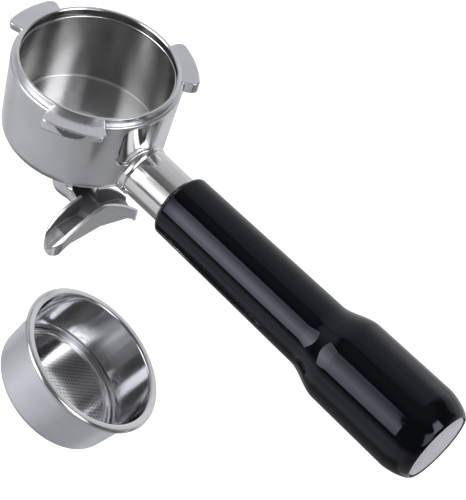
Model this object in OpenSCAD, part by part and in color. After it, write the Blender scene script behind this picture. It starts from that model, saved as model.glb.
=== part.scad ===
// Three-lug espresso filter holder with a twin open spout and a long handle,
// and the loose filter basket that goes with it. Millimetres, +Z up.
// Origin: centre of the bowl's top lip. +X runs out along the handle.

/* [Bowl] */
// inside diameter of the bowl
bore_d = 53; // [50:0.5:59]
// wall of the upright lip
lip_wall = 1.3; // [1.1:0.05:2]
// height of the upright lip above the shoulder
lip_h = 2.4; // [2:0.1:3.2]
// how far the shoulder stands out from the lip
shoulder_w = 1.5; // [1:0.1:2.5]
// how much the outside narrows down to its foot, on the radius
wall_taper = 1.35; // [0.5:0.05:1.4]
// depth of the well inside
well_depth = 30.6; // [27:0.1:36]
// thickness of the bowl's floor
floor_t = 3.2; // [2.6:0.1:4.5]
// rounding of the outer bottom edge
foot_round = 4.5; // [3:0.1:5.5]

/* [Lugs] */
// how far a lug stands out from the shoulder
lug_reach = 5.3; // [4:0.1:7]
// thickness of a lug
lug_t = 4.2; // [3.2:0.1:5.2]
// angle covered by one lug
lug_angle = 37; // [28:1:46]

/* [Thumb recess above the neck] */
// width of the recess
recess_w = 25; // [20:0.5:28]
// wall left between the recess and the well
recess_wall = 1.15; // [0.9:0.05:1.5]

/* [Neck] */
// length of the neck from the bowl's shoulder to the handle
neck_l = 15.7; // [13:0.1:22]
// diameter of the neck
neck_d = 18.5; // [17:0.1:20.5]
// height of the handle's axis above the underside of the bowl
axis_up = 8.4; // [7.5:0.1:10]
// downward slope of the handle in degrees
handle_drop = 4; // [0:0.5:8]
// diameter of the spigot inside the handle
spigot_d = 14; // [12.5:0.1:15.2]
// length of the spigot
spigot_l = 17; // [14:0.5:22]

/* [Handle] */
// length of the handle
grip_l = 119.4; // [100:0.5:140]
// diameter at its front
grip_front_d = 23.3; // [22.5:0.1:26]
// diameter where the slim part ends
grip_waist_d = 24.8; // [23.5:0.1:27]
// diameter of the bulb
grip_bulb_d = 32.6; // [30.5:0.1:36]
// length of the bulb behind the flare
bulb_l = 40.4; // [34:0.1:48]
// diameter of the disc in its end
disc_d = 25.1; // [22:0.1:27]
// diameter of the rod that holds the handle
rod_d = 6; // [5:0.1:7]

/* [Twin spout] */
// turn of the spout about the bowl's axis
spout_turn = -6; // [-20:1:20]
// diameter of the stem under the bowl
stem_d = 12.6; // [12:0.1:14.5]
// length of the stem
stem_l = 22.7; // [20:0.1:28]
// distance of the trough's middle in front of the bowl's axis
trough_reach = 14.1; // [13:0.1:17]
// outside width of the trough
trough_w = 9.4; // [8.5:0.1:10.8]
// wall of the trough at its top edge
trough_wall = 1; // [0.8:0.05:1.4]
// distance from the middle of the trough to the end of an arm
arm_l = 19.6; // [17:0.1:24]

/* [Filter basket] */
// radial gap between the basket and the bowl
basket_play = 0.3; // [0.2:0.05:0.6]
// overall height of the basket
basket_h = 22.6; // [20:0.1:26]
// how much the basket narrows down to its foot, on the radius
basket_taper = 1.7; // [1:0.1:2.4]
// how far the rolled rim stands out from the basket's wall
rim_reach = 2.4; // [2:0.1:3]
// sheet thickness
sheet = 0.8; // [0.6:0.05:1]
// spacing of the holes in the screen
hole_pitch = 3.2; // [2.8:0.1:4.5]
// diameter of one hole
hole_d = 0.8; // [0.5:0.1:1.2]

/* [Where the loose basket stands] */
// distance out along the handle
basket_x = 45.5; // [40:0.5:70]
// distance to the side of the handle
basket_side = 23.4; // [10:0.2:60]
// depth of the rim's centre below the foot of the spout's stem
basket_below = 31.9; // [28:0.1:60]
// lean of the basket in degrees
basket_lean = 28.2; // [0:0.2:35]
// direction that it leans to, in degrees from the handle
basket_turn = 40.7; // [0:0.1:90]

/* [Hidden] */
$fn = 96;
wire_fn = 24;
fit = 0.05;       // radial clearance of a close fit
loose = 0.2;      // radial clearance of a washer or seal
over = 1;         // how far a cutting shape runs past a face
sink = 0.01;      // how far joined shapes run into each other

// bowl
bore_r = bore_d / 2;
lip_r = bore_r + lip_wall;
shoulder_r = lip_r + shoulder_w;
foot_r = shoulder_r - wall_taper;
bowl_h = well_depth + floor_t;
shoulder_round = 1.1;
well_round = 0.8;
edge = 0.3;
funnel_w = 3;
funnel_h = 0.8;
boss_h = 2.7;
boss_z = -bowl_h - boss_h;

// retaining spring in its groove
wire_r = 0.5;
groove_play = 0.15;
groove_r = wire_r + groove_play;
spring_drop = 0.8;
spring_z = -lip_h - spring_drop;
spring_back = 0.3;
spring_gap = 24;
spring_turn = 318;

// lugs and thumb recess
lug_turns = [60, 180, 300];
lug_rise = 0.4;
lug_bevel = 0.6;
lug_root = 1;
lug_top = lug_rise - lip_h;
lug_r = shoulder_r + lug_reach;
recess_drop = 1.6;
recess_top = -lip_h - recess_drop;
recess_round = 3.5;
recess_sink = 5.4;

// neck and spigot, measured along the handle from the bowl's axis
neck_r = neck_d / 2;
spigot_r = spigot_d / 2;
axis_drop = bowl_h - axis_up;
neck_sink = 3.5;
neck_root = bore_r - neck_sink;
root_l = 4;
root_in = 3;
collar_l = 3;
collar_w = 0.6;
collar_r = neck_r + collar_w;
neck_end = shoulder_r + neck_l;
gasket_t = 0.6;
gasket_in = 0.3;

// handle
grip_start = neck_end + gasket_t;
grip_end = grip_start + grip_l;
front_round = 1.7;
front_r = grip_front_d / 2;
waist_r = grip_waist_d / 2;
bulb_r = grip_bulb_d / 2;
bulb_lean = 0.35;
flare_l = 13.8;
flare_end = grip_end - bulb_l;
flare_start = flare_end - flare_l;
end_round = 9.4;
disc_r = disc_d / 2;
disc_t = 2.2;
disc_bevel = 0.6;
disc_land = 0.35;
disc_inset = 0.1;
disc_seat = grip_end - disc_inset - disc_t;

// what holds the handle
bush_wall = 2;
bush_r = spigot_r + bush_wall;
bush_inset = 1.4;
bush_short = 2;
bush_l = spigot_l - bush_inset - bush_short;
spigot_room = 1.2;
rod_r = rod_d / 2;
rod_inset = 3;
rod_start = neck_end + rod_inset;
rod_over = 1.5;
rod_play = 0.4;
washer_t = 1.4;
nut_t = 5.5;
nut_wall = 2;
nut_af = rod_d + 2 * nut_wall;
tool_room = 6;
cavity_r = rod_r + tool_room;
washer_gap = 1;
carrier_t = 1.4;
plug_l = 11;
plug_wall = 1.8;
plug_room = 1.9;
carrier_seat = disc_seat - carrier_t;
nut_seat = carrier_seat - plug_l - plug_room - rod_over - nut_t - washer_t;

// spout; u runs forward from the bowl's axis and w along the arms
seal_t = 0.8;
stem_r = stem_d / 2;
stem_wall = 1.6;
stem_round = 4;
stem_top = boss_z - seal_t;
stem_foot = stem_top - stem_l;
boss_step = 0.7;
boss_r = stem_r + boss_step;
nipple_in = 2.1;
nipple_r = stem_r - nipple_in;
nipple_wall = 1.2;
nipple_grip = 6;
nipple_gap = 0.5;
nipple_short = 1.2;
window_h = 13;
window_top = stem_foot + window_h;
chute_in = 1.4;
chute_r = stem_r - chute_in;
chute_wall = 1.4;
chute_round = 3;
chute_floor_t = 1.6;
chute_floor = stem_foot + chute_floor_t;
chute_h = 4.4;
chute_edge = stem_foot + chute_h;
chute_rise = 2.6;
chute_lift = 4;
trough_in = trough_reach - trough_w / 2;
trough_out = trough_reach + trough_w / 2;
trough_draft = 0.7;
trough_foot_wall = trough_wall + trough_draft;
crest_h = 8;
crest_z = stem_foot + crest_h;
belly_drop = 1.4;
belly_z = stem_foot - belly_drop;
crest_fall = 12.5;
belly_fall = 4.2;
arm_bend = 1.43;
drip = 2.6;
drip_l = 5;
tip_flat = 0.2;
tip_round = trough_w / 2 - tip_flat;
ridge_lift = 3.1;
ridge_z = stem_foot + ridge_lift;
ridge_w = 3.2;
ridge_h = 2.9;

// basket, in its own frame with the rim's top at zero
wall_out = bore_r - basket_play;
mouth_r = wall_out - sheet;
basket_foot_r = mouth_r - basket_taper;
curl_gap = 0.2;
curl_r = (rim_reach - curl_gap) / 2;
rim_r = wall_out + rim_reach;
mouth_round = 0.7;
base_round = 2.4;
drain_r = 0.8;
screen_t = 0.6;
screen_play = 0.15;
screen_r = basket_foot_r - screen_play;
screen_sink = 0.5;
screen_leg = -basket_h + base_round - screen_sink;
screen_h = 0.9;
screen_z = screen_leg + screen_h;
bead_lift = 0.35;
bead_flat = 1.8;
bead_w = 0.9;
bead_r = screen_r - bead_w;
groove_d = 0.75;
plate_r = bead_r - bead_w - bead_flat;
plate_rim = 2;

metal = [0.74, 0.74, 0.77];
steel = [0.66, 0.66, 0.70];
black = [0.07, 0.07, 0.08];

function arc(cx, cy, r, a0, a1, n = 8) =
    [for (i = [0:n]) [cx + r * cos(a0 + (a1 - a0) * i / n), cy + r * sin(a0 + (a1 - a0) * i / n)]];

module along_handle(s = 0) {
    translate([0, 0, -axis_drop]) rotate([0, 90 + handle_drop, 0]) translate([0, 0, s]) children();
}

module in_spout() {
    rotate([0, 0, spout_turn]) children();
}

module at_basket() {
    translate([basket_x, -basket_side, stem_foot - basket_below])
        rotate([0, basket_lean, basket_turn]) children();
}

module ring(outer, inner, h) {
    difference() {
        cylinder(r = outer, h = h);
        translate([0, 0, -over]) cylinder(r = inner, h = h + 2 * over);
    }
}

// flat box with rounded corners, standing on the origin
module rounded_box(w, h, r) {
    polygon(concat(arc(w - r, h - r, r, 0, 90), arc(r, h - r, r, 90, 180),
        arc(r, r, r, 180, 270), arc(w - r, r, r, 270, 360)));
}

// bowl turned in one piece with its outlet boss, solid
module bowl_outside() {
    rotate_extrude() polygon(concat(
        [[0, 0], [lip_r - edge, 0], [lip_r, -edge], [lip_r, -lip_h]],
        arc(shoulder_r - shoulder_round, -lip_h - shoulder_round, shoulder_round, 90, 0, 5),
        arc(foot_r - foot_round, -bowl_h + foot_round, foot_round, 0, -90, 8),
        [[boss_r, -bowl_h], [boss_r, boss_z], [0, boss_z]]));
}

// well, funnel and outlet bore
module bowl_inside() {
    rotate_extrude() polygon(concat(
        [[0, over], [bore_r + edge, over], [bore_r + edge, 0], [bore_r, -edge]],
        arc(bore_r - well_round, -well_depth + well_round, well_round, 0, -90, 5),
        [[nipple_r + funnel_w, -well_depth], [nipple_r + fit, -well_depth - funnel_h],
         [nipple_r + fit, boss_z - over], [0, boss_z - over]]));
}

module lug(turn) {
    inside = bore_r + lug_root;
    low = lug_top - lug_t;
    rotate([0, 0, turn - lug_angle / 2]) rotate_extrude(angle = lug_angle)
        polygon([[inside, lug_top], [lug_r - lug_bevel, lug_top], [lug_r, lug_top - lug_bevel],
            [lug_r, low + lug_bevel], [lug_r - lug_bevel, low], [inside, low]]);
}

// flat-bottomed pocket that follows the round of the wall
module thumb_recess() {
    recess_low = collar_r - axis_drop - recess_sink;
    intersection() {
        translate([0, 0, -bowl_h]) ring(lug_r, bore_r + recess_wall, bowl_h);
        translate([bore_r / 2, -recess_w / 2, recess_low]) rotate([90, 0, 90])
            linear_extrude(bore_r) rounded_box(recess_w, recess_top - recess_low, recess_round);
    }
}

// neck with its collar and the spigot for the handle, turned
module neck() {
    collar_at = neck_root + root_l;
    rotate_extrude() polygon([[0, neck_root], [neck_r - root_in, neck_root], [collar_r, collar_at],
        [neck_r, collar_at + collar_l], [neck_r, neck_end], [spigot_r, neck_end],
        [spigot_r, neck_end + spigot_l], [0, neck_end + spigot_l]]);
}

// bowl, lugs, neck and spigot cast in one piece
module holder() {
    color(metal) difference() {
        union() {
            difference() {
                bowl_outside();
                thumb_recess();
            }
            for (turn = lug_turns) lug(turn);
            along_handle() neck();
        }
        bowl_inside();
        rotate_extrude() translate([bore_r + spring_back, spring_z]) circle(r = groove_r, $fn = wire_fn);
        along_handle(rod_start) cylinder(r = rod_r + fit, h = spigot_l);
    }
}

// split wire ring that grips the basket
module retaining_spring() {
    color(steel) rotate([0, 0, spring_turn]) rotate_extrude(angle = 360 - spring_gap)
        translate([bore_r + spring_back, spring_z]) circle(r = wire_r, $fn = wire_fn);
}

module outlet_seal() {
    color(black) translate([0, 0, stem_top]) ring(stem_r, nipple_r + loose, seal_t);
}

// threaded tube that joins the spout to the bowl
module outlet_nipple() {
    low = stem_top - nipple_grip + nipple_gap;
    color(steel) translate([0, 0, low])
        ring(nipple_r, nipple_r - nipple_wall, -well_depth - nipple_short - low);
}

function crest(w) = crest_z - crest_fall * pow(abs(w) / arm_l, arm_bend);
function belly(w) = belly_z - belly_fall * pow(abs(w) / arm_l, arm_bend)
    - drip * max(0, 1 - (arm_l - abs(w)) / drip_l);

// draws in w and z, and runs from u0 to u1
module across_arms(u0, u1) {
    translate([u1, 0, 0]) rotate([90, 0, -90]) linear_extrude(u1 - u0) children();
}

// trough before it is hollowed: both arms fall away, with a lip under each tip
module trough_solid() {
    steps = 8;
    intersection() {
        across_arms(trough_in, trough_out) polygon(concat(
            [for (i = [-steps:steps]) [arm_l * i / steps, crest(arm_l * i / steps)]],
            [for (i = [steps:-1:-steps]) [arm_l * i / steps, belly(arm_l * i / steps)]]));
        translate([trough_in, -arm_l, belly(arm_l) - over])
            linear_extrude(crest_z - belly(arm_l) + 2 * over)
                rounded_box(trough_w, 2 * arm_l, tip_round);
    }
}

// inside of the trough: walls thicken downwards, floor falls away from a ridge
module trough_hollow() {
    low = belly(arm_l) - over;
    high = crest_z + over;
    past = arm_l + over;
    floor_z = ridge_z - ridge_h;
    floor_fall = floor_z - belly(arm_l) - drip;
    half = [[0, ridge_z], [ridge_w, floor_z], [arm_l * 0.45, floor_z - floor_fall * 0.1],
        [arm_l * 0.7, floor_z - floor_fall * 0.35], [past, belly(arm_l)], [past, high]];
    intersection() {
        across_arms(trough_in, trough_out)
            polygon(concat(half, [for (i = [len(half) - 1:-1:1]) [-half[i][0], half[i][1]]]));
        translate([0, past, 0]) rotate([90, 0, 0]) linear_extrude(2 * past) polygon([
            [trough_in + trough_foot_wall, low], [trough_out - trough_foot_wall, low],
            [trough_out - trough_foot_wall, belly_z], [trough_out - trough_wall, crest_z],
            [trough_out - trough_wall, high], [trough_in + trough_wall, high],
            [trough_in + trough_wall, crest_z], [trough_in + trough_foot_wall, belly_z]]);
    }
}

// chute from the stem to the trough, rounded below
module chute_solid() {
    chute_end = trough_in + trough_wall;
    intersection() {
        translate([0, chute_r, 0]) rotate([90, 0, 0]) linear_extrude(2 * chute_r)
            polygon([[0, stem_foot], [chute_end, stem_foot], [chute_end, chute_edge - over],
                [trough_in, chute_edge], [stem_r / 2, chute_edge + chute_rise], [0, chute_edge + chute_lift]]);
        translate([0, -chute_r, stem_foot]) rotate([90, 0, 90]) linear_extrude(chute_end)
            rounded_box(2 * chute_r, stem_l, chute_round);
    }
}

// twin open spout: round stem, short chute forward, open trough across
module spout() {
    chute_half = chute_r - chute_wall;
    bore_low = stem_top - nipple_grip;
    color(metal) in_spout() difference() {
        union() {
            rotate_extrude() polygon(concat([[0, stem_top], [0, stem_foot]],
                arc(stem_r - stem_round, stem_foot + stem_round, stem_round, -90, 0),
                [[stem_r, stem_top]]));
            chute_solid();
            trough_solid();
        }
        trough_hollow();
        translate([0, 0, bore_low]) cylinder(r = nipple_r + fit, h = nipple_grip + over);
        translate([0, 0, chute_floor]) cylinder(r = stem_r - stem_wall, h = bore_low - chute_floor + sink);
        translate([0, -chute_half, chute_floor])
            cube([trough_reach, 2 * chute_half, window_top - chute_floor]);
    }
}

module neck_gasket() {
    color(black) along_handle(neck_end) ring(neck_r - gasket_in, spigot_r + fit, gasket_t);
}

function ease(x) = x * x * (3 - 2 * x);

// outside of the grip, turned: slim part, flare, bulb and rounded end
module grip_outside() {
    end_r = disc_r + disc_land;
    steps = 8;
    front_bulb_r = bulb_r - bulb_lean;
    rotate_extrude() polygon(concat(
        [[0, grip_start]],
        arc(front_r - front_round, grip_start + front_round, front_round, -90, 0, 6),
        [for (i = [0:steps]) [waist_r + (front_bulb_r - waist_r) * ease(i / steps),
            flare_start + flare_l * i / steps]],
        [for (i = [0:steps]) let (x = sin(90 * i / steps))
            [end_r + (bulb_r - end_r) * pow(1 - pow(x, 1.5), 2 / 3), grip_end - end_round * (1 - x)]],
        [[0, grip_end]]));
}

module handle_shell() {
    color(black) difference() {
        along_handle() grip_outside();
        along_handle(neck_end) cylinder(r = spigot_r + fit, h = spigot_l + spigot_room);
        along_handle(grip_start + bush_inset) cylinder(r = bush_r, h = bush_l);
        along_handle(grip_start) cylinder(r = rod_r + rod_play, h = grip_l);
        along_handle(nut_seat) cylinder(r = cavity_r, h = grip_l);
        along_handle(carrier_seat) cylinder(r = disc_r + fit, h = grip_l);
    }
}

// metal sleeve moulded into the front of the grip
module handle_bush() {
    color(metal) along_handle(grip_start + bush_inset) ring(bush_r, spigot_r + fit, bush_l);
}

module tie_rod() {
    rod_l = nut_seat + washer_t + nut_t + rod_over - rod_start;
    color(steel) along_handle(rod_start) cylinder(r = rod_r, h = rod_l);
}

module tie_washer() {
    color(steel) along_handle(nut_seat) ring(cavity_r - washer_gap, rod_r + loose, washer_t);
}

module tie_nut() {
    corner = nut_af / 2 / cos(30);
    color(steel) along_handle(nut_seat + washer_t) difference() {
        linear_extrude(nut_t) polygon([for (i = [0:5]) [corner * cos(60 * i), corner * sin(60 * i)]]);
        translate([0, 0, -over]) cylinder(r = rod_r + fit, h = nut_t + 2 * over);
    }
}

// hollow plug that seats the end disc in the grip
module end_carrier() {
    color(black) difference() {
        union() {
            along_handle(carrier_seat - plug_l) cylinder(r = cavity_r - fit, h = plug_l + sink);
            along_handle(carrier_seat) cylinder(r = disc_r, h = carrier_t);
        }
        along_handle(carrier_seat - plug_l - over) cylinder(r = cavity_r - plug_wall, h = plug_l + over);
    }
}

module end_disc() {
    color(metal) along_handle(disc_seat) rotate_extrude() polygon([[0, 0], [disc_r, 0],
        [disc_r, disc_t - disc_bevel], [disc_r - disc_bevel, disc_t], [0, disc_t]]);
}

// pressed cup with a rolled rim and a drain hole
module basket_shell() {
    foot_out = basket_foot_r + sheet;
    inner_round = base_round - sheet;
    color(steel) at_basket() rotate_extrude() polygon(concat(
        [[drain_r, -basket_h]],
        arc(foot_out - base_round, -basket_h + base_round, base_round, -90, 0, 6),
        [[wall_out, -curl_r]],
        arc(rim_r - curl_r, -curl_r, curl_r, 180, 450, 18),
        arc(mouth_r + mouth_round, -mouth_round, mouth_round, 90, 180, 4),
        arc(basket_foot_r - inner_round, -basket_h + base_round, inner_round, 0, -90, 6),
        [[drain_r, -basket_h + sheet]]));
}

// drilled screen with a bead around its edge
module basket_screen() {
    rows = floor((plate_r - plate_rim) / hole_pitch);
    bead_z = screen_leg + bead_lift;
    groove_low = screen_z - groove_d;
    color(steel) at_basket() difference() {
        rotate_extrude() polygon(concat(
            [[0, screen_z], [plate_r, screen_z], [plate_r + groove_d, groove_low],
             [bead_r - bead_w, groove_low]],
            arc(bead_r, bead_z, bead_w, 180, 0, 8),
            [[screen_r, screen_leg], [screen_r - screen_t, screen_leg]],
            arc(bead_r, bead_z, bead_w - screen_t, 0, 180, 6),
            [[bead_r - bead_w + screen_t, groove_low - screen_t],
             [plate_r + groove_d / 2, groove_low - screen_t],
             [plate_r - groove_d / 2, screen_z - screen_t], [0, screen_z - screen_t]]));
        for (i = [-rows:rows], j = [-rows:rows])
            if (abs(i + j) <= rows)
                translate([hole_pitch * (i + j / 2), hole_pitch * j * sin(60), screen_z - 2 * screen_t])
                    cylinder(r = hole_d / 2, h = 3 * screen_t, $fn = 16);
    }
}

holder();
retaining_spring();
outlet_seal();
spout();
outlet_nipple();
neck_gasket();
handle_shell();
handle_bush();
tie_rod();
tie_washer();
tie_nut();
end_carrier();
end_disc();
basket_shell();
basket_screen();
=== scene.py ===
"""Looks of a three-lug filter holder with a twin spout and of its loose basket.

Lengths are in millimetres in the holder's own frame (origin at the centre of the
bowl's lip, +Z up, +X out along the handle) and become metres when a mesh is made.
"""
from math import atan2, cos, hypot, pi, radians, sin, sqrt, tan

import bpy
import numpy as np
from mathutils import Euler, Matrix, Vector


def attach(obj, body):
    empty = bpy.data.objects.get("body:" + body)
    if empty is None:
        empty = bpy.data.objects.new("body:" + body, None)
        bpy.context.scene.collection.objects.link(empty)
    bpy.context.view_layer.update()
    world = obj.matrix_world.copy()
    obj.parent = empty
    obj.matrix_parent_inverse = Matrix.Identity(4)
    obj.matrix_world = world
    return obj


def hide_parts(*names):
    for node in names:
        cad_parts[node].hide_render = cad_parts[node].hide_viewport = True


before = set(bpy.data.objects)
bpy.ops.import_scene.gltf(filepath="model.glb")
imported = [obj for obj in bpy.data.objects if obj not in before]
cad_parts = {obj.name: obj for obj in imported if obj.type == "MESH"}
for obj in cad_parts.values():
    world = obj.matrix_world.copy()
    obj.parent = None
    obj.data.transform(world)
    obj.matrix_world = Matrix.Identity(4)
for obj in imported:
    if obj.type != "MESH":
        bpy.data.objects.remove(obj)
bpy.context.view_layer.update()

MM = 0.001

# ---------------------------------------------------------------- sizes (mm)
# bowl: radii of bore, lip, shoulder and foot; height of the lip, well and whole
BORE_R, LIP_R, SHOULDER_R, FOOT_R = 26.5, 27.8, 29.3, 27.95
LIP_H, WELL, BOWL_H = 2.4, 30.6, 33.8
BOSS_R, BOSS_H, OUTLET_R = 7.0, 2.7, 4.2
GROOVE_R, GROOVE_Z, GROOVE_W = BORE_R + 0.3, -3.2, 0.65
LUG_R, LUG_T, LUG_TOP = 34.6, 4.2, -2.0
# each lug: middle and half width in degrees, how much it thins out along its turn,
# how far its end slants, and whether it has the flat, which is coloured dark as painted shade
LUGS = [(60, 18.5, 1.3, 0.15, False), (180, 18.5, 1.3, 0.15, False), (301.5, 19.5, 2.1, 0.4, True)]
RECESS_R, RECESS_W, RECESS_TOP, RECESS_LOW, RECESS_LEFT = 27.65, 25.0, -4.0, -20.9, 3.0
# handle, measured along its own axis, which starts under the bowl's centre
AXIS_DROP, HANDLE_DROP = 25.4, radians(4)
NECK_R, COLLAR_R, NECK_START, COLLAR_END, NECK_END = 9.25, 9.85, 24.0, 29.6, 45.0
GRIP_START, GRIP_END, GRIP_BORE, DISC_R = 45.6, 165.0, 7.1, 12.55
# spout, in a frame turned about z: u across the trough, w along it
SPOUT_TURN = radians(-6)
STEM_R, STEM_WALL, STEM_TOP, STEM_FOOT = 6.3, 1.6, -37.3, -60.0
TROUGH_IN, TROUGH_OUT, ARM_L, TROUGH_TOP = 9.4, 18.8, 19.6, STEM_FOOT + 8
TROUGH_MID = (TROUGH_IN + TROUGH_OUT) / 2
CHUTE_OUT, CHUTE_IN, CHUTE_FLOOR = 4.9, 3.5, STEM_FOOT + 1.6
# basket, in its own frame with the rim's top at 0
BASKET_AT = (45.5, -23.4, -91.9)
BASKET_LEAN, BASKET_TURN = radians(28.2), radians(40.7)
MOUTH_R, BASKET_FOOT_R, BASKET_H, SHEET = 25.4, 23.7, 22.6, 0.8
RIM_R, CURL_R, DRAIN_R = 28.6, 1.1, 0.8
SCREEN_Z, PLATE_R = -19.8, 19.95
# camera: its place, its turn in degrees, and the focal length and width in pixels
CAMERA_AT, CAMERA_TURN = (332.58, -446.16, 474.81), (44.321, -12.903, 43.249)
FOCAL_PX, PICTURE_W = 2200, 466
# studio: floor, and the scrim beside the neck with the share of light it lets through
FLOOR_Z, FLOOR_HALF = -420.0, 6000.0
SCRIM_X, SCRIM_Y, SCRIM_Z, SCRIM_PASS = (25.5, 47.0), -24.0, (-29.4, 5.0), 0.34


# ------------------------------------------------------------- mesh builders
def new_mesh(name, points, faces, place=None):
    """A smooth-shaded object from points in millimetres."""
    pts = np.asarray(points, float)
    if place is not None:
        m = np.array(place.to_3x3())
        pts = pts @ m.T + np.array(place.translation)
    mesh = bpy.data.meshes.new(name)
    mesh.from_pydata((pts * MM).tolist(), [], [tuple(f) for f in faces])
    mesh.validate()
    mesh.polygons.foreach_set("use_smooth", [True] * len(mesh.polygons))
    mesh.update()
    obj = bpy.data.objects.new(name, mesh)
    bpy.context.scene.collection.objects.link(obj)
    return obj


def weighted(obj):
    """Shading normals follow the large faces, so small bevels stay crisp."""
    obj.data.set_sharp_from_angle(angle=radians(38))
    mod = obj.modifiers.new("normals", "WEIGHTED_NORMAL")
    mod.weight = 70
    mod.keep_sharp = True
    return obj


def arc(cx, cy, r, a0, a1, n=8):
    """Points of an arc from a0 to a1 degrees."""
    a = np.radians(np.linspace(a0, a1, n + 1))
    return [(cx + r * cos(t), cy + r * sin(t)) for t in a]


def rounded(corners, steps=5):
    """Outline from (r, z, radius) corners, each corner replaced by an arc."""
    out = []
    count = len(corners)
    for i, (x, y, rad) in enumerate(corners):
        p = np.array((x, y))
        a = np.array(corners[i - 1][:2]) - p
        b = np.array(corners[(i + 1) % count][:2]) - p
        la, lb = hypot(*a), hypot(*b)
        if rad <= 0 or la == 0 or lb == 0:
            out.append((x, y))
            continue
        a, b = a / la, b / lb
        half = np.arccos(np.clip(a @ b, -1, 1)) / 2
        cut = min(rad / tan(half), 0.49 * la, 0.49 * lb)
        rad = cut * tan(half)
        mid = (a + b) / np.linalg.norm(a + b)
        centre = p + mid * rad / sin(half)
        v0, v1 = p + a * cut - centre, p + b * cut - centre
        turn = atan2(v0[0] * v1[1] - v0[1] * v1[0], v0 @ v1)
        for k in range(steps + 1):
            t = turn * k / steps
            c, s = cos(t), sin(t)
            q = centre + np.array((c * v0[0] - s * v0[1], s * v0[0] + c * v0[1]))
            out.append((q[0], q[1]))
    return out


def split_long(outline, longest):
    """Adds points so that no stretch of a closed outline is longer than that."""
    out = []
    for i, p in enumerate(outline):
        q = outline[(i + 1) % len(outline)]
        n = max(1, int(np.ceil(hypot(q[0] - p[0], q[1] - p[1]) / longest)))
        out += [(p[0] + (q[0] - p[0]) * k / n, p[1] + (q[1] - p[1]) * k / n) for k in range(n)]
    return out


def lathe(name, outline, around=256, place=None, longest=8.0):
    """Closed outline of (r, z) turned about z. Points on the axis become one point."""
    outline = split_long(outline, longest)
    points, rings = [], []
    turns = np.linspace(0, 2 * pi, around, endpoint=False)
    for r, z in outline:
        if r < 1e-6:
            rings.append([len(points)])
            points.append((0, 0, z))
        else:
            rings.append(list(range(len(points), len(points) + around)))
            points += [(r * cos(t), r * sin(t), z) for t in turns]
    faces = []
    for i in range(len(rings)):
        a, b = rings[i], rings[(i + 1) % len(rings)]
        if len(a) == 1 and len(b) == 1:
            continue
        for k in range(around):
            n = (k + 1) % around
            if len(a) == 1:
                faces.append((a[0], b[n], b[k]))
            elif len(b) == 1:
                faces.append((a[k], a[n], b[0]))
            else:
                faces.append((a[k], a[n], b[n], b[k]))
    return weighted(new_mesh(name, points, faces, place))


CORNERS = np.array([[i, j, k] for i in (0, 1) for j in (0, 1) for k in (0, 1)])
EDGES = [(a, b) for a in range(8) for b in range(a + 1, 8)
         if abs(CORNERS[a] - CORNERS[b]).sum() == 1]


def field_mesh(name, field, low, high, step, place=None):
    """Surface where field(points) is zero, as quads on a grid, drawn onto the surface."""
    low, high = np.array(low, float), np.array(high, float)
    size = np.ceil((high - low) / step).astype(int) + 1
    axes = [low[i] + step * np.arange(size[i]) for i in range(3)]
    values = np.empty(size, np.float32)
    yy, zz = np.meshgrid(axes[1], axes[2], indexing="ij")
    for i, x in enumerate(axes[0]):
        values[i] = field(np.full_like(yy, x), yy, zz)
    inside = values < 0
    cells = size - 1
    total = np.zeros(cells, np.int8)
    for c in CORNERS:
        total += inside[c[0]:c[0] + cells[0], c[1]:c[1] + cells[1], c[2]:c[2] + cells[2]]
    active = (total > 0) & (total < 8)
    index = np.full(cells, -1, np.int64)
    ijk = np.argwhere(active)
    index[active] = np.arange(len(ijk))
    corner = np.stack([values[tuple((ijk + c).T)] for c in CORNERS], 1)
    where, count = np.zeros((len(ijk), 3)), np.zeros(len(ijk))
    for a, b in EDGES:
        va, vb = corner[:, a], corner[:, b]
        cross = (va < 0) != (vb < 0)
        t = np.where(cross, va / np.where(cross, va - vb, 1), 0)[:, None]
        where += cross[:, None] * (CORNERS[a] + t * (CORNERS[b] - CORNERS[a]))
        count += cross
    points = low + step * (ijk + where / count[:, None])
    quads = []
    for ax in range(3):
        one = np.roll(np.array([1, 0, 0]), ax)
        n = size - one
        here = inside[:n[0], :n[1], :n[2]]
        there = inside[one[0]:, one[1]:, one[2]:]
        e = np.argwhere(here != there)
        u, v = np.roll(one, 1), np.roll(one, 2)
        sides = [(ax + 1) % 3, (ax + 2) % 3]
        e = e[((e[:, sides] > 0) & (e[:, sides] < cells[sides])).all(1)]
        ring = [index[tuple((e - d).T)] for d in (0 * one, u, u + v, v)]
        q = np.stack(ring, 1)
        flip = ~here[tuple(e.T)]
        q[flip] = q[flip][:, ::-1]
        quads.append(q)
    quads = np.concatenate(quads)

    def slope(p, h=0.02):
        """Gradient of the field, by steps of h."""
        g = []
        for ax in range(3):
            d = np.zeros(3)
            d[ax] = h
            g.append((field(*(p + d).T) - field(*(p - d).T)) / (2 * h))
        return np.stack(g, 1)

    for _ in range(4):
        g = slope(points)
        move = field(*points.T)[:, None] * g / np.maximum((g * g).sum(1), 0.2)[:, None]
        points = points - np.clip(move, -step, step)
    obj = new_mesh(name, points, quads.tolist(), place)
    g = slope(points, 0.06)
    g /= np.maximum(np.linalg.norm(g, axis=1), 1e-6)[:, None]
    if place is not None:
        g = g @ np.array(place.to_3x3()).T
    obj.data.normals_split_custom_set_from_vertices(g.tolist())
    return obj


# ----------------------------------------------------------- distance fields
def ease(x):
    """From 0 to 1 with a level start and end."""
    return x * x * (3 - 2 * x)


def wrapped(angle):
    """The same angle between -pi and pi."""
    return (angle + pi) % (2 * pi) - pi


def round_and(a, b, r):
    """Both at once, with the outer edge rounded."""
    a, b = a + r, b + r
    return np.minimum(np.maximum(a, b), 0) + np.hypot(np.maximum(a, 0), np.maximum(b, 0)) - r


def round_or(a, b, r):
    """Either, with the inner corner filled."""
    return -round_and(-a, -b, r)


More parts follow.
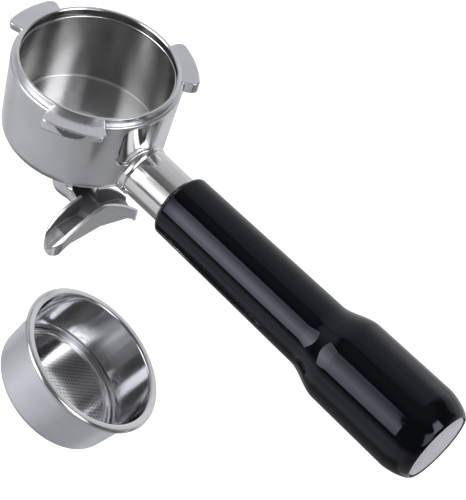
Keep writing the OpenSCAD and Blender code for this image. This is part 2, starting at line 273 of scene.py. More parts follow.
def box2(x, y, w, h, r):
    """Rectangle of half sizes w and h with corners of radius r."""
    return round_and(np.abs(x) - w, np.abs(y) - h, r)


def along_handle(x, y, z):
    """Distance along the handle's axis, and from it."""
    zz = z + AXIS_DROP
    s = x * cos(HANDLE_DROP) - zz * sin(HANDLE_DROP)
    up = x * sin(HANDLE_DROP) + zz * cos(HANDLE_DROP)
    return s, np.hypot(y, up)


HANDLE = Matrix.Translation((0, 0, -AXIS_DROP)) @ Matrix.Rotation(pi / 2 + HANDLE_DROP, 4, "Y")
SPOUT = Matrix.Rotation(SPOUT_TURN, 4, "Z")
BASKET = (Matrix.Translation(BASKET_AT) @ Matrix.Rotation(BASKET_TURN, 4, "Z")
          @ Matrix.Rotation(BASKET_LEAN, 4, "Y"))


# --------------------------------------------------------------- holder body
def facet(x, y, z):
    """Shallow flat on the front lug's upper outer edge, which is coloured dark as painted shade."""
    turn, tilt, level, depth = radians(-59.5), radians(8), -2.6, 0.33
    out = x * cos(turn) + y * sin(turn)
    return out * cos(tilt) + (z - level) * sin(tilt) - (LUG_R - depth) * cos(tilt)


def lug(x, y, z, middle, half, thinning, slant, flat_with_painted_shade):
    """One lug: flat on top, slanting below, with rounded corners."""
    corner, edge = 2.4, 0.45
    r, half = np.hypot(x, y), radians(half)
    off = wrapped(np.arctan2(y, x) - radians(middle))
    thick = LUG_T - thinning * np.clip((off + half) / (2 * half), 0, 1)
    ends = np.maximum((off - half) * r + slant * (LUG_TOP - z), (-off - half) * r)
    side = round_and(r - LUG_R, ends, corner)
    plate = round_and(side, np.maximum(z - LUG_TOP, LUG_TOP - thick - z), edge)
    plate = np.maximum(plate, LIP_R - 1 - r)
    return np.maximum(plate, facet(x, y, z)) if flat_with_painted_shade else plate


def recess(x, y, z):
    """Thumb recess in the wall over the neck, which fades out to the right."""
    corner, fade_from, fade_w, rise = 3.5, -4.0, 8.0, 1.7
    middle, half = (RECESS_TOP + RECESS_LOW) / 2, (RECESS_TOP - RECESS_LOW) / 2
    outline = box2(y + RECESS_LEFT, z - middle, RECESS_W / 2 - RECESS_LEFT, half, corner)
    fade = ease(np.clip((y - fade_from) / fade_w, 0, 1))
    pocket = np.maximum(outline, RECESS_R + rise * fade - np.hypot(x, y))
    far_away = 9.0
    return np.where(x > 0, pocket, far_away)


def casting(x, y, z):
    """Outside of the bowl with its lugs, thumb recess, neck and boss, hollow for the liner."""
    foot, shoulder, fillet, collar_step, liner_t = 4.5, 0.9, 0.8, 0.9, 0.6
    r = np.hypot(x, y)
    lean = (SHOULDER_R - FOOT_R) / (BOWL_H - LIP_H)
    wall = (r - FOOT_R - lean * (z + BOWL_H)) / sqrt(1 + lean * lean)
    body = round_and(wall, -(z + BOWL_H), foot)
    body = round_and(body, z + LIP_H, shoulder)
    body = round_and(body, -recess(x, y, z), 0.35)
    for row in LUGS:
        body = round_or(body, lug(x, y, z, *row), 0.5)
    s, rad = along_handle(x, y, z)
    swell = ease(np.clip((COLLAR_END - s) / collar_step, 0, 1))
    neck = round_and(rad - NECK_R - (COLLAR_R - NECK_R) * swell, s - NECK_END, 0.25)
    body = round_or(body, np.maximum(neck, NECK_START - s), fillet)
    boss = np.maximum(r - BOSS_R, -(z + BOWL_H + BOSS_H))
    body = round_or(body, np.maximum(boss, z + BOWL_H - 2), fillet)
    hollow = np.maximum(r - BORE_R - liner_t, -(z + WELL + liner_t))
    outlet = r - OUTLET_R - 0.05
    return np.maximum(np.maximum(body, -hollow), -outlet)


def make_casting():
    """The casting, drawn on a grid of 0.42 mm."""
    return field_mesh("bowl_casting", casting, (-35.5, -35.0, -38), (46.5, 35.0, -1), 0.42)


def make_liner():
    """Lip, machined inside of the bowl, its spring groove, floor and outlet."""
    # the liner's back lies just behind the casting's hollow
    back, floor_back, outlet_low = BORE_R + 0.7, -WELL - 0.7, -BOWL_H - BOSS_H + 0.1
    outline = rounded([(LIP_R, -LIP_H - 0.5, 0), (LIP_R, 0, 0.28), (BORE_R + 0.35, 0, 0.12),
                       (BORE_R, -0.4, 0.12), (BORE_R, -2.0, 0)], 4)
    outline += arc(GROOVE_R, GROOVE_Z, GROOVE_W, 117, -117, 14)
    outline += rounded([(BORE_R, -5.0, 0), (BORE_R, -WELL, 0.8), (8.6, -WELL, 0.6),
                        (OUTLET_R, -WELL - 0.9, 0.3), (OUTLET_R, outlet_low, 0),
                        (OUTLET_R + 1, outlet_low, 0), (OUTLET_R + 1, -WELL - 1.0, 0),
                        (back, floor_back, 0), (back, -5, 0), (BORE_R + 1.1, -4.2, 0),
                        (BORE_R + 1.1, -LIP_H - 0.5, 0)], 6)
    return lathe("bowl_liner", outline[::-1], 288)


def make_spring():
    """Wire ring that weaves in and out of its groove."""
    inward = [radians(a) for a in (18, 162, 268)]
    reach, dip = radians(42), 0.35
    start, sweep, n = radians(318), radians(336), 240
    wire, around = 0.5, 10
    path = []
    for i in range(n + 1):
        a = start + sweep * i / n
        r = GROOVE_R
        for c in inward:
            off = abs(wrapped(a - c)) / reach
            if off < 1:
                r -= dip * (1 + cos(pi * off))
        path.append((r, a))
    points, faces = [], []
    for r, a in path:
        for k in range(around):
            t = 2 * pi * k / around
            rr = r + wire * cos(t)
            points.append((rr * cos(a), rr * sin(a), GROOVE_Z + wire * sin(t)))
    for i in range(n):
        here, beyond = i * around, (i + 1) * around
        for k in range(around):
            m = (k + 1) % around
            faces.append((here + k, here + m, beyond + m, beyond + k))
    faces.append(tuple(range(around))[::-1])
    faces.append(tuple(n * around + k for k in range(around)))
    return new_mesh("spring_wire", points, [f[::-1] for f in faces])


# --------------------------------------------------------------------- spout
def crest(u, w):
    """Top edge of the trough's walls; the one at the stem's side stays up longer."""
    drop, near, far = 12.5, 1.95, 1.43
    power = np.where(u < TROUGH_MID, near, far)
    return TROUGH_TOP - drop * (np.abs(w) / ARM_L) ** power


def belly(w):
    """Underside of the trough, which drops steeply under both tips."""
    return np.interp(np.abs(w), (0, 6.6, 12.8, 16.4, 16.9, 20.4),
                     (-62.0, -63.2, -64.2, -66.7, -67.6, -69.4))


def spout_outside(u, w, z):
    """Stem, chute and trough, solid. The arms' ends are rounder on the stem's side.

    Slanting faces are scaled by their slope, so that fillets keep their radius.
    """
    rad = np.hypot(u, w)
    stem = round_and(rad - STEM_R, STEM_FOOT - z, 4.0)
    stem = np.maximum(stem, z - STEM_TOP)
    chute_end = TROUGH_IN + 1
    chute_top = np.interp(u, (0, STEM_R / 2, TROUGH_IN, chute_end), (-51.6, -53.0, -55.6, -56.6))
    chute = round_and(np.abs(w) - CHUTE_OUT, STEM_FOOT - z, 3.0)
    chute = np.maximum(np.maximum(chute, (z - chute_top) * 0.9), np.maximum(-u, u - chute_end))
    round_end = 5.9
    split = TROUGH_IN + round_end
    corner = np.where(u < split, round_end, TROUGH_OUT - split)
    across, beyond = np.abs(u - split), np.abs(w) - (ARM_L - corner)
    plan = np.where(beyond > 0, np.hypot(across, np.maximum(beyond, 0)), across) - corner
    side = np.maximum(z - crest(u, w), belly(w) - z) * 0.84
    trough = round_and(plan, side, 0.45)
    return round_or(round_or(stem, chute, 1.2), trough, 0.9)


def spout_inside(u, w, z):
    """Bore, chute and trough floor with a tongue that splits the flow."""
    half, aw = (TROUGH_OUT - TROUGH_IN) / 2, np.abs(w)
    # the walls are thinnest at the top of the middle
    deep = np.clip((TROUGH_TOP - z) / 9.4, 0, 1)
    wall = 1.25 + 0.6 * deep + 0.35 * np.clip((aw - 14) / 5, 0, 1)
    # the floor falls to both tips, where it is also hollow across
    floor = np.interp(aw, (0, 8.8, 13.7, 20.6), (-59.7, -60.38, -61.83, -68.2))
    floor = floor + 0.5 * np.abs(u - TROUGH_MID) * np.clip((aw - 12.5) / 4, 0, 1)
    tongue_w = 3.7 * np.clip((17.3 - u) / 7, 0, 1)
    tongue = STEM_FOOT + 1.75 + 0.06 * tongue_w - 0.9 * np.maximum(aw - tongue_w, 0)
    floor = np.maximum(floor, tongue)
    hollow = round_and(np.abs(u - TROUGH_MID) - half + wall, (floor - z) * 0.85, 0.5)
    chute = round_and(aw - CHUTE_IN, CHUTE_FLOOR - z, 1.0)
    chute = np.maximum(chute, np.maximum(-u, np.maximum(u - TROUGH_MID, z - STEM_FOOT - 13)))
    bore = np.maximum(np.hypot(u, w) - STEM_R + STEM_WALL, CHUTE_FLOOR - z)
    return round_or(round_or(bore, chute, 0.4), hollow, 0.4)


def spout_field(u, w, z):
    """The hollowed spout."""
    return round_and(spout_outside(u, w, z), -spout_inside(u, w, z), 0.3)


def make_spout():
    """The spout, which is turned a little about the bowl's axis."""
    low, high = (-7, -20.4, -71), (19.6, 20.4, -36.6)
    return field_mesh("spout_casting", spout_field, low, high, 0.3, SPOUT)


# -------------------------------------------------------------------- handle
def make_handle():
    """Slim front that flares into a bulb, closed round the seat of the end disc."""
    front, waist, bulb, end_r = 11.65, 12.4, 16.3, DISC_R + 0.35
    front_edge, taper, flare_l, round_l = 1.7, 0.35, 13.8, 9.4
    seat_r, seat_z = DISC_R + 0.06, GRIP_END - 2.6
    flare_start = GRIP_END - 40.4 - flare_l
    out = [(GRIP_BORE, GRIP_START)]
    out += arc(front - front_edge, GRIP_START + front_edge, front_edge, -90, 0, 8)
    for i in range(25):
        radius = waist + (bulb - taper - waist) * ease(i / 24)
        out.append((radius, flare_start + flare_l * i / 24))
    for i in range(21):
        x = sin(pi / 2 * i / 20)
        radius = end_r + (bulb - end_r) * (1 - x ** 1.5) ** (2 / 3)
        out.append((radius, GRIP_END - round_l * (1 - x)))
    out += rounded([(end_r, GRIP_END, 0), (seat_r, GRIP_END, 0.12), (seat_r, seat_z, 0),
                    (GRIP_BORE, seat_z, 0)], 3)[1:]
    return lathe("grip", out, 192, HANDLE)


def make_end_disc():
    """Disc in the handle's end, very slightly domed."""
    top, bulge, thick, edge = GRIP_END - 0.1, 0.12, 2.1, 0.1
    dome = [(DISC_R * k / 14, top - bulge * (k / 14) ** 2) for k in range(13)]
    out = dome + rounded([dome[-1] + (0,), (DISC_R - 0.55, top - bulge, edge),
                          (DISC_R, top - 0.65, edge), (DISC_R, top - thick, edge),
                          (0, top - thick, 0)], 4)[1:]
    return lathe("handle_cap", out[::-1], 144, HANDLE)


# -------------------------------------------------------------------- basket
def make_basket():
    """Pressed basket of one sheet: drain hole, rounded foot, tapering wall, rolled rim."""
    wall_out = MOUTH_R + SHEET
    foot_out = BASKET_FOOT_R + SHEET
    bend = 2.4
    out = [(DRAIN_R, -BASKET_H)] + arc(foot_out - bend, -BASKET_H + bend, bend, -90, 0, 12)
    out += [(wall_out - 0.1, -4.0), (wall_out, -1.9)]
    out += arc(RIM_R - CURL_R, -CURL_R, CURL_R, 196, 450, 26)
    out += arc(MOUTH_R + 0.9, -0.9, 0.9, 90, 180, 8)
    out += arc(BASKET_FOOT_R - bend + SHEET, -BASKET_H + bend, bend - SHEET, 0, -90, 10)
    out += [(DRAIN_R, -BASKET_H + SHEET)]
    return lathe("basket_body", out, 256, BASKET)


def make_screen_edge():
    """Rim of the screen: a shallow groove and the bead that seats it."""
    low, bead_r, bead_z, bead, inner = SCREEN_Z - 0.75, 22.65, -20.35, 0.9, 0.3
    out = rounded([(PLATE_R - 0.6, SCREEN_Z - 0.03, 0), (PLATE_R, SCREEN_Z - 0.03, 0.4),
                   (PLATE_R + 0.75, low, 0.4), (bead_r - bead, low, 0.3),
                   (bead_r - bead, bead_z, 0)], 5)
    out += arc(bead_r, bead_z, bead, 180, 0, 16)[1:]
    out += [(bead_r + bead, bead_z - 0.35), (bead_r + inner, bead_z - 0.35)]
    out += arc(bead_r, bead_z, inner, 0, 180, 8)
    out += [(bead_r - inner, low - 0.6), (PLATE_R + 0.35, low - 0.6),
            (PLATE_R - 0.6, SCREEN_Z - 0.6)]
    return lathe("screen_edge", out[::-1], 240, BASKET)


def make_screen_plate():
    """Plate with a square grid of fine round holes; its rim is drawn out to a circle."""
    pitch, hole, thick, turn, rim = 1.39, 0.26, 0.5, radians(26), 0.85
    reach = PLATE_R - rim
    rows = int(reach / pitch) + 1
    c, s = cos(turn), sin(turn)
    steps = [(1, 0), (1, 1), (0, 1), (-1, 1), (-1, 0), (-1, -1), (0, -1), (1, -1)]
    used, cells = {}, []
    for i in range(-rows, rows + 1):
        for j in range(-rows, rows + 1):
            if hypot(i, j) * pitch <= reach:
                ring = [(2 * i + a, 2 * j + b) for a, b in steps]
                cells.append((i * pitch, j * pitch, ring))
                for key in ring:
                    used[key] = used.get(key, 0) + 1
    index, flat = {}, []
    for key, times in used.items():
        x, y = key[0] * pitch / 2, key[1] * pitch / 2
        full = 4 if key[0] % 2 and key[1] % 2 else 2
        pull = PLATE_R / hypot(x, y) if times < full else 1
        index[key] = len(flat)
        flat.append((x * pull, y * pull))
    count, level = len(flat), SCREEN_Z
    points = [(x, y, level) for x, y in flat] + [(x, y, level - thick) for x, y in flat]
    faces, edges = [], set()
    for cx, cy, ring in cells:
        base = len(points)
        for z in (level, level - thick):
            points += [(cx + hole * cos(k * pi / 4), cy + hole * sin(k * pi / 4), z)
                       for k in range(8)]
        for k in range(8):
            n = (k + 1) % 8
            a, b = index[ring[k]], index[ring[n]]
            edges.add((a, b))
            faces.append((a, b, base + n, base + k))
            faces.append((b + count, a + count, base + 8 + k, base + 8 + n))
            faces.append((base + k, base + n, base + 8 + n, base + 8 + k))
    for a, b in sorted(edges):
        if (b, a) not in edges:
            faces.append((b, a, a + count, b + count))
    points = [(x * c - y * s, x * s + y * c, z) for x, y, z in points]
    obj = new_mesh("screen_plate", points, faces, BASKET)
    obj.data.set_sharp_from_angle(angle=radians(38))
    return obj


# ----------------------------------------------------------------- materials
def shader(name, **values):
    """A principled material with plain values set on its own sockets."""
    mat = bpy.data.materials.new(name)
    mat.use_nodes = True
    bsdf = mat.node_tree.nodes["Principled BSDF"]
    for key, value in values.items():
        socket = bsdf.inputs[key.replace("_", " ")]
        socket.default_value = (*value, 1) if isinstance(value, tuple) else value
    return mat, mat.node_tree.nodes, mat.node_tree.links, bsdf


def position(nodes, links, scale=(1, 1, 1)):
    """Object position stretched by scale, for textures measured in metres."""
    coord = nodes.new("ShaderNodeTexCoord")
    mapping = nodes.new("ShaderNodeMapping")
    mapping.inputs["Scale"].default_value = scale
    links.new(coord.outputs["Object"], mapping.inputs["Vector"])
    return mapping.outputs["Vector"]


def compute(nodes, links, kind, *values, of="Math"):
    """Result of a Math or VectorMath node fed with sockets or plain values."""
    node = nodes.new("ShaderNode" + of)
    node.operation = kind
    for socket, value in zip(node.inputs, values):
        if isinstance(value, bpy.types.NodeSocket):
            links.new(value, socket)
        else:
            socket.default_value = value
    number = of == "Math" or kind in ("LENGTH", "DOT_PRODUCT")
    return node.outputs["Value" if number else "Vector"]


def noise(nodes, links, where, scale, detail=3.0, rough=0.5):
    """Noise of that many cells per metre."""
    tex = nodes.new("ShaderNodeTexNoise")
    tex.inputs["Scale"].default_value = scale
    tex.inputs["Detail"].default_value = detail
    tex.inputs["Roughness"].default_value = rough
    links.new(where, tex.inputs["Vector"])
    return tex.outputs["Fac"]


def between(nodes, links, value, low, high, to_low, to_high, kind="LINEAR"):
    """Value mapped from low..high to to_low..to_high, clamped."""
    ramp = nodes.new("ShaderNodeMapRange")
    ramp.interpolation_type = kind
    sockets = ("From Min", "From Max", "To Min", "To Max")
    for socket, number in zip(sockets, (low, high, to_low, to_high)):
        ramp.inputs[socket].default_value = number
    links.new(value, ramp.inputs["Value"])
    return ramp.outputs["Result"]


def tint(nodes, links, value, dark, light, bsdf):
    """Base colour that runs from dark to light with value."""
    mix = nodes.new("ShaderNodeMix")
    mix.data_type = "RGBA"
    links.new(value, mix.inputs["Factor"])
    mix.inputs["A"].default_value = (*dark, 1)
    mix.inputs["B"].default_value = (*light, 1)
    links.new(mix.outputs["Result"], bsdf.inputs["Base Color"])


def polish(nodes, links, value, low, high, first, last, bsdf):
    """Roughness that runs from first to last as value goes from low to high."""
    links.new(between(nodes, links, value, low, high, first, last), bsdf.inputs["Roughness"])


def bump(nodes, links, height, distance, bsdf, strength=1.0):
    """Relief of that depth in metres."""
    node = nodes.new("ShaderNodeBump")
    node.inputs["Strength"].default_value = strength
    node.inputs["Distance"].default_value = distance
    links.new(height, node.inputs["Height"])
    links.new(node.outputs["Normal"], bsdf.inputs["Normal"])


def satin_metal(name, colour, rough, grain=2500.0, depth=4e-6, spread=0.05, cloud=0.06):
    """Plated metal: fine grain, and soft clouds in tone and polish."""
    mat, nodes, links, bsdf = shader(name, Metallic=1.0)
    at = position(nodes, links)
    soft = noise(nodes, links, at, 60.0, 4.0)
    fine = noise(nodes, links, at, grain, 2.0)
    dark = tuple(c * (1 - cloud) for c in colour)
    light = tuple(min(1, c * (1 + cloud)) for c in colour)
    tint(nodes, links, between(nodes, links, soft, 0.3, 0.7, 0, 1), dark, light, bsdf)
    polish(nodes, links, soft, 0.3, 0.7, rough + spread, rough - spread, bsdf)
    bump(nodes, links, fine, depth, bsdf)
    return mat


def turned_metal(name, colour, rough, lines, depth, amount, turned_in=Matrix.Identity(4)):
    """Metal with fine lathe marks round an axis; they stretch its highlights across them."""
    mat, nodes, links, bsdf = shader(name, Metallic=1.0, Anisotropic=amount)

    def vector(kind, *values):
        return compute(nodes, links, kind, *values, of="VectorMath")

    dark, spread = tuple(c * 0.8 for c in colour), 0.04
    axis = (turned_in.to_3x3() @ Vector((0, 0, 1))).normalized()
    coord = nodes.new("ShaderNodeTexCoord")
    arm = vector("SUBTRACT", coord.outputs["Object"], turned_in.translation * MM)
    round_axis = vector("CROSS_PRODUCT", axis, arm)
    across = vector("CROSS_PRODUCT", coord.outputs["Normal"], round_axis)
    rings = nodes.new("ShaderNodeCombineXYZ")
    links.new(vector("LENGTH", round_axis), rings.inputs["X"])
    links.new(vector("DOT_PRODUCT", arm, axis), rings.inputs["Z"])
    marks = noise(nodes, links, rings.outputs[0], lines, 3.0)
    soft = noise(nodes, links, position(nodes, links), 45.0, 3.0)
    tint(nodes, links, between(nodes, links, marks, 0.25, 0.75, 0, 1), dark, colour, bsdf)
    polish(nodes, links, soft, 0.3, 0.7, rough + spread, rough - spread, bsdf)
    bump(nodes, links, marks, depth, bsdf)
    links.new(across, bsdf.inputs["Tangent"])
    return mat


def gloss_black(name):
    """Moulded gloss black with a faint ripple and a few fine scuffs."""
    mat, nodes, links, bsdf = shader(name, Base_Color=(0.0016, 0.0018, 0.003), IOR=1.5,
                                     Specular_IOR_Level=0.4, Specular_Tint=(0.8, 0.82, 1.0))
    ripple = noise(nodes, links, position(nodes, links), 90.0, 2.0)
    scuff = noise(nodes, links, position(nodes, links, (0.6, 3.0, 3.0)), 420.0, 5.0, 0.62)
    polish(nodes, links, scuff, 0.55, 0.8, 0.035, 0.16, bsdf)
    bump(nodes, links, ripple, 2.5e-5, bsdf, 0.5)
    return mat


def dull_black(name, colour, rough):
    """Rubber, dull plastic, or the near-black painted shade inside the screen's holes, with a fine
    grain.
    """
    mat, nodes, links, bsdf = shader(name)
    fine = noise(nodes, links, position(nodes, links), 1800.0, 3.0)
    dark, light = tuple(c * 0.7 for c in colour), tuple(c * 1.3 for c in colour)
    tint(nodes, links, fine, dark, light, bsdf)
    polish(nodes, links, fine, 0.3, 0.7, rough - 0.06, rough + 0.06, bsdf)
    bump(nodes, links, fine, 1.5e-5, bsdf)
    return mat


plated = satin_metal("plated_satin", (0.80, 0.80, 0.835), 0.28)
neck_metal = satin_metal("plated_bright", (0.82, 0.815, 0.815), 0.13)
mirror = satin_metal("plated_mirror", (0.50, 0.50, 0.50), 0.07, depth=1e-6,
                     spread=0.015, cloud=0.02)
lip_metal = turned_metal("lip_turned", (0.90, 0.90, 0.92), 0.25, 5200.0, 2e-6, 0.93)
# painted shade: the wall of the well is the lip's turned metal at about half its tone
wall_metal_painted_shade = turned_metal("well_wall_turned_painted_shade", (0.52, 0.51, 0.505), 0.22, 5200.0, 3e-6, 0.8)
floor_metal = turned_metal("well_floor_turned", (0.92, 0.92, 0.94), 0.31, 5200.0, 2e-6, 0.93)
# painted shade: the bore's mouth and spring groove are the same metal made near black
mouth_painted_shade = turned_metal("bore_mouth_painted_shade", (0.26, 0.255, 0.255), 0.2, 5200.0, 2e-6, 0.6)
cast_metal = satin_metal("spout_cast", (0.74, 0.74, 0.77), 0.27, grain=1400.0, depth=6e-6)
cast_rough = satin_metal("spout_cast_inside", (0.34, 0.34, 0.345), 0.58,
                         grain=1100.0, depth=5e-5, cloud=0.2)
# painted shade: the flat on the front lug is the plating made dark
flat_shade_metal = satin_metal("flat_with_painted_shade", (0.24, 0.24, 0.25), 0.2, grain=1500.0, depth=8e-6,
                     cloud=0.3)
spring_metal = satin_metal("spring_wire", (0.74, 0.74, 0.76), 0.2)
basket_matt = satin_metal("basket_matt", (0.76, 0.76, 0.81), 0.38, grain=3200.0, depth=3e-6)
basket_bright = turned_metal("basket_bright", (0.90, 0.90, 0.92), 0.24, 4800.0, 1e-6, 0.9,
                             turned_in=BASKET)
basket_inside = satin_metal("basket_polished", (0.74, 0.74, 0.76), 0.09, spread=0.02)
screen_metal = turned_metal("screen_steel", (0.94, 0.94, 0.96), 0.16, 4200.0, 5e-7, 0.55,
                            turned_in=BASKET)
# painted shade: the insides of the screen's holes are near black
hole_painted_shade = dull_black("screen_holes_painted_shade", (0.03, 0.028, 0.026), 0.7)
black_gloss = gloss_black("handle_gloss")
disc_metal = satin_metal("end_disc_satin", (0.82, 0.81, 0.86), 0.34)
rubber = dull_black("seal_rubber", (0.02, 0.02, 0.021), 0.6)
bush_finish = satin_metal("bush_metal", (0.5, 0.5, 0.5), 0.35)
steel_finish = satin_metal("bright_steel", (0.6, 0.6, 0.61), 0.22)
carrier_finish = dull_black("carrier_plastic", (0.02, 0.02, 0.022), 0.45)


def dress(obj, *materials, choose=None):
    """Gives the object its materials; choose(x, y, z in mm) picks one for each face."""
    mesh = obj.data
    mesh.materials.clear()
    for mat in materials:
        mesh.materials.append(mat)
    if choose is not None:
        centres = np.array([face.center for face in mesh.polygons]) / MM
        mesh.polygons.foreach_set("material_index", choose(*centres.T).astype(np.int32))


def local(place, x, y, z):
    """Points in a placed piece's own frame."""
    back = place.inverted()
    pts = np.stack([x, y, z], 1) @ np.array(back.to_3x3()).T + np.array(back.translation)
    return pts.T


def casting_finish(x, y, z):
    """0 satin wall, 1 bright neck, 2 polished recess, 3 the flat on the lug, coloured dark as
    painted shade.
    """
    s, rad = along_handle(x, y, z)
    r = np.hypot(x, y)
    neck = (x > NECK_START) & (s > COLLAR_END - 1) & (rad < COLLAR_R + 0.55)
    pocket = (x > 0) & (y > -RECESS_W / 2 - 0.2) & (y < -2.5)
    pocket &= (z > RECESS_LOW) & (z < RECESS_TOP) & (r > 27) & (r < 27.9)
    # the flat on the front lug, which takes the dark metal of painted shade
    flat = (np.abs(facet(x, y, z)) < 0.06) & (r > 33.9) & (z < -2.7) & (x > 0) & (y < 0)
    return np.select([flat, pocket, neck], [3, 2, 1], 0)


def liner_finish(x, y, z):
    """0 lip, 1 wall of the well, darkened as painted shade, 2 its floor, 3 mouth and spring groove,
    made near black as painted shade.
    """
    r = np.hypot(x, y)
    mouth = (z < -0.35) & (z > -4.3) & (r < BORE_R + 1.02)
    wall = (r < BORE_R + 0.02) & (z < -0.42)
    return np.select([mouth, z < -WELL + 0.75, wall], [3, 2, 1], 0)


def spout_finish(x, y, z):
    """0 outside, 1 rough cast inside."""
    u, w, v = local(SPOUT, x, y, z)
    return np.where(spout_inside(u, w, v) < 0.22, 1, 0)


def screen_finish(x, y, z):
    """0 plate, 1 inside of its holes, near black as painted shade."""
    u, w, v = local(BASKET, x, y, z)
    return np.where((np.abs(v - SCREEN_Z + 0.25) < 0.1) & (np.hypot(u, w) < PLATE_R - 0.6), 1, 0)


def basket_finish(x, y, z):
    """0 matt outside, 1 rolled rim, 2 polished inside."""
    u, w, v = local(BASKET, x, y, z)
    r = np.hypot(u, w)
    rim = (v > -2.0) & (r > MOUTH_R + 0.9)
    inner = MOUTH_R + (MOUTH_R - BASKET_FOOT_R) * v / BASKET_H
    inside = (v > -0.1) | (r < inner + SHEET / 2) & (v > -BASKET_H + SHEET / 2)
    return np.select([rim, inside], [1, 2], 0)


body, basket = "filter_holder", "filter_basket"
pieces = [
    (make_casting(), body, "plated_casting", ["holder"],
     (plated, neck_metal, mirror, flat_shade_metal), casting_finish),
    (make_liner(), body, "plated_casting", ["holder"],
     (lip_metal, wall_metal_painted_shade, floor_metal, mouth_painted_shade), liner_finish),
    (make_spring(), body, "spring_steel", ["retaining_spring"], (spring_metal,), None),
    (make_spout(), body, "spout_casting", ["spout"], (cast_metal, cast_rough), spout_finish),
    (make_handle(), body, "handle_black", ["handle_shell"], (black_gloss,), None),
    (make_end_disc(), body, "end_metal", ["end_disc"], (disc_metal,), None),
    (make_basket(), basket, "basket_steel", ["basket_shell"],
     (basket_matt, basket_bright, basket_inside), basket_finish),
    (make_screen_edge(), basket, "screen_steel", ["basket_screen"], (screen_metal,), None),
    (make_screen_plate(), basket, "screen_steel", ["basket_screen"],
     (screen_metal, hole_painted_shade), screen_finish),
]
for piece, rides_on, slot, nodes, finishes, choose in pieces:
    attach(piece, rides_on)
    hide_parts(*nodes)
    dress(piece, *finishes, choose=choose)

for node, finish in (("outlet_seal", rubber), ("neck_gasket", rubber),
                     ("outlet_nipple", steel_finish), ("tie_rod", steel_finish),
                     ("tie_washer", steel_finish), ("tie_nut", steel_finish),
                     ("handle_bush", bush_finish), ("end_carrier", carrier_finish)):
    dress(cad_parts[node], finish)


# ------------------------------------------------------- camera, light, floor
def add_camera():
    """Long lens that looks down on the part from beside the handle."""
    cam = bpy.data.cameras.new("camera")
    cam.sensor_fit = "HORIZONTAL"
    cam.sensor_width = 36
    cam.lens = FOCAL_PX / PICTURE_W * cam.sensor_width
    cam.clip_end = 10
    obj = bpy.data.objects.new("camera", cam)
    turn = Euler([radians(a) for a in CAMERA_TURN])
    obj.matrix_world = Matrix.LocRotScale(Vector(CAMERA_AT) * MM, turn, None)
    bpy.context.scene.collection.objects.link(obj)
    bpy.context.scene.camera = obj


def key_light():
    """Big soft box on the left, level with the handle, brightest along its middle."""
    azimuth, elevation = radians(-130), radians(26.5)
    aim, distance, aside, lower = Vector((0.06, 0, -0.05)), 1.6, 0.21, 0.165  # metres
    lamp = bpy.data.lights.new("key", "AREA")
    lamp.shape = "RECTANGLE"
    lamp.size, lamp.size_y = 1.27, 1.57
    lamp.energy = pi * lamp.size * lamp.size_y
    obj = bpy.data.objects.new("key", lamp)
    way = Vector((cos(azimuth) * cos(elevation), sin(azimuth) * cos(elevation), sin(elevation)))
    up = Vector((1, 0, 0)).cross(way).normalized()
    if up.z < 0:
        up = -up
    side = up.cross(way)
    centre = aim + way * distance + side * aside - up * lower
    obj.matrix_world = Matrix.Translation(centre) @ Matrix((side, up, way)).transposed().to_4x4()
    lamp.use_nodes = True
    nodes, links = lamp.node_tree.nodes, lamp.node_tree.links
    spot = nodes.new("ShaderNodeNewGeometry")
    split = nodes.new("ShaderNodeSeparateXYZ")
    links.new(spot.outputs["Parametric"], split.inputs[0])
    # stretches of the box, 0..1 along its height Y or width X, and the brightness at their ends
    spans = (("Y", 0, 0.41, 2.3, 4.6), ("Y", 0.41, 0.83, 4.6, 1.8), ("X", 0.74, 1, 1, 0.55))
    rise, fall, dim = [between(nodes, links, split.outputs[axis], *span) for axis, *span in spans]
    level = compute(nodes, links, "MINIMUM", rise, fall)
    level = compute(nodes, links, "MULTIPLY", level, dim)
    links.new(level, nodes["Emission"].inputs["Strength"])
    bpy.context.scene.collection.objects.link(obj)


# the studio as the object sees it: azimuth range and softness, elevation range and
# softness in degrees, and the brightness added there
STUDIO = [
    (54, 180, 24, -55, 6, 30, 0.50),        # pale backdrop behind the object
    (88, 180, 20, 6, 58, 30, 0.50),
    (60, 165, 25, -50, 15, 25, 0.10),
    (66, 104, 10, 4, 32, 10, 0.42),
    (-180, -72, 30, -49, -14, 18, 0.57),    # floor on the left
    (-140, -85, 14, -20, -5, 6, 0.25),
    (-220, 220, 1, -90, -50, 20, 0.10),     # floor right below
    (20, 95, 15, -90, -52, 12, 0.45),
    (-75, 10, 12, -90, -15, 20, 0.23),      # floor in front
    (33, 41, 4, -70, -15, 8, 0.55),         # narrow card beside the handle
    (-40, -8, 6, 8, 38, 6, 1.8),            # panel in front on the right
    (-11, 20, 7, 30, 57, 8, 3.9),
    (30, 60, 12, -15, 20, 14, 0.20),
    (-220, -155, 25, 5, 50, 15, 0.45),      # beyond the key light
    (-220, 220, 1, 62, 100, 14, 0.09),      # ceiling
    (95, 175, 20, 55, 80, 12, 0.25),
]
SHADE = 0.09    # the room between them


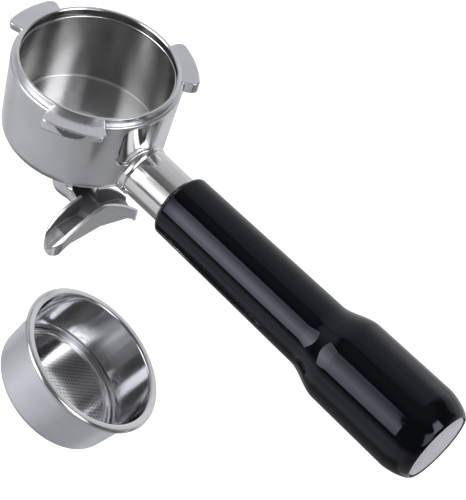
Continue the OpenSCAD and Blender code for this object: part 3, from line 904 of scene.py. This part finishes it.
def make_world():
    """Dim room with pale soft-edged patches round the object, plain white to the camera."""
    world = bpy.data.worlds.new("studio")
    bpy.context.scene.world = world
    world.use_nodes = True
    nodes, links = world.node_tree.nodes, world.node_tree.links
    back, to_degrees = nodes["Background"], 180 / pi

    def math(kind, *values):
        return compute(nodes, links, kind, *values)

    def window(value, low, high, soft):
        """1 between low and high, falling to 0 over the soft width."""
        half = soft / 2
        rise = between(nodes, links, value, low - half, low + half, 0, 1, "SMOOTHSTEP")
        fall = between(nodes, links, value, high + half, high - half, 0, 1, "SMOOTHSTEP")
        return math("MULTIPLY", rise, fall)

    coord = nodes.new("ShaderNodeTexCoord")
    split = nodes.new("ShaderNodeSeparateXYZ")
    links.new(coord.outputs["Generated"], split.inputs[0])
    azimuth = math("MULTIPLY", math("ARCTAN2", split.outputs["Y"], split.outputs["X"]), to_degrees)
    elevation = math("MULTIPLY", math("ARCSINE", split.outputs["Z"]), to_degrees)
    total = SHADE
    for a0, a1, a_soft, e0, e1, e_soft, level in STUDIO:
        patch = math("MULTIPLY", window(azimuth, a0, a1, a_soft), window(elevation, e0, e1, e_soft))
        total = math("ADD", total, math("MULTIPLY", patch, level))
    links.new(total, back.inputs["Strength"])
    back.inputs["Color"].default_value = (0.97, 0.98, 1.0, 1)
    white = nodes.new("ShaderNodeBackground")
    white.inputs["Color"].default_value = (1, 1, 1, 1)
    seen = nodes.new("ShaderNodeMixShader")
    links.new(nodes.new("ShaderNodeLightPath").outputs["Is Camera Ray"], seen.inputs["Fac"])
    links.new(back.outputs[0], seen.inputs[1])
    links.new(white.outputs[0], seen.inputs[2])
    links.new(seen.outputs[0], nodes["World Output"].inputs["Surface"])


def make_floor():
    """Plain pale floor: white to the camera apart from the object's shadow."""
    h, z = FLOOR_HALF, FLOOR_Z
    obj = new_mesh("floor", [(-h, -h, z), (h, -h, z), (h, h, z), (-h, h, z)], [(0, 1, 2, 3)])
    mat, nodes, links, bsdf = shader("floor_pale", Base_Color=(0.8, 0.8, 0.8), Roughness=0.9,
                                     Specular_IOR_Level=0.1)
    path = nodes.new("ShaderNodeLightPath")
    glow = nodes.new("ShaderNodeEmission")
    glow.inputs["Color"].default_value = (1, 1, 1, 1)
    lift = compute(nodes, links, "MULTIPLY", path.outputs["Is Camera Ray"], 0.75)
    links.new(lift, glow.inputs["Strength"])
    both = nodes.new("ShaderNodeAddShader")
    links.new(bsdf.outputs[0], both.inputs[0])
    links.new(glow.outputs[0], both.inputs[1])
    links.new(both.outputs[0], nodes["Material Output"].inputs["Surface"])
    obj.data.materials.append(mat)
    obj.visible_glossy = False


def make_scrim():
    """Soft-edged scrim beside the neck, which keeps the tone of the neck's highlight."""
    (x0, x1), y, (z0, z1) = SCRIM_X, SCRIM_Y, SCRIM_Z
    obj = new_mesh("scrim", [(x0, y, z0), (x1, y, z0), (x1, y, z1), (x0, y, z1)], [(0, 1, 2, 3)])
    mat = bpy.data.materials.new("scrim_gauze")
    mat.use_nodes = True
    nodes, links = mat.node_tree.nodes, mat.node_tree.links
    nodes.clear()
    split = nodes.new("ShaderNodeSeparateXYZ")
    links.new(nodes.new("ShaderNodeTexCoord").outputs["Object"], split.inputs[0])
    cover = None
    # each edge and how far inwards it softens
    for axis, edge, width in (("X", x0, 1.5), ("X", x1, -9), ("Z", z0, 3.4), ("Z", z1, -3)):
        part = between(nodes, links, split.outputs[axis], edge * MM, (edge + width) * MM, 0, 1)
        cover = part if cover is None else compute(nodes, links, "MULTIPLY", cover, part)
    gauze = nodes.new("ShaderNodeBsdfTransparent")
    links.new(between(nodes, links, cover, 0, 1, 1, SCRIM_PASS), gauze.inputs["Color"])
    links.new(gauze.outputs[0], nodes.new("ShaderNodeOutputMaterial").inputs["Surface"])
    obj.data.materials.append(mat)
    obj.visible_camera = False


add_camera()
make_world()
make_floor()
make_scrim()
key_light()
bpy.context.scene.view_settings.view_transform = "Standard"
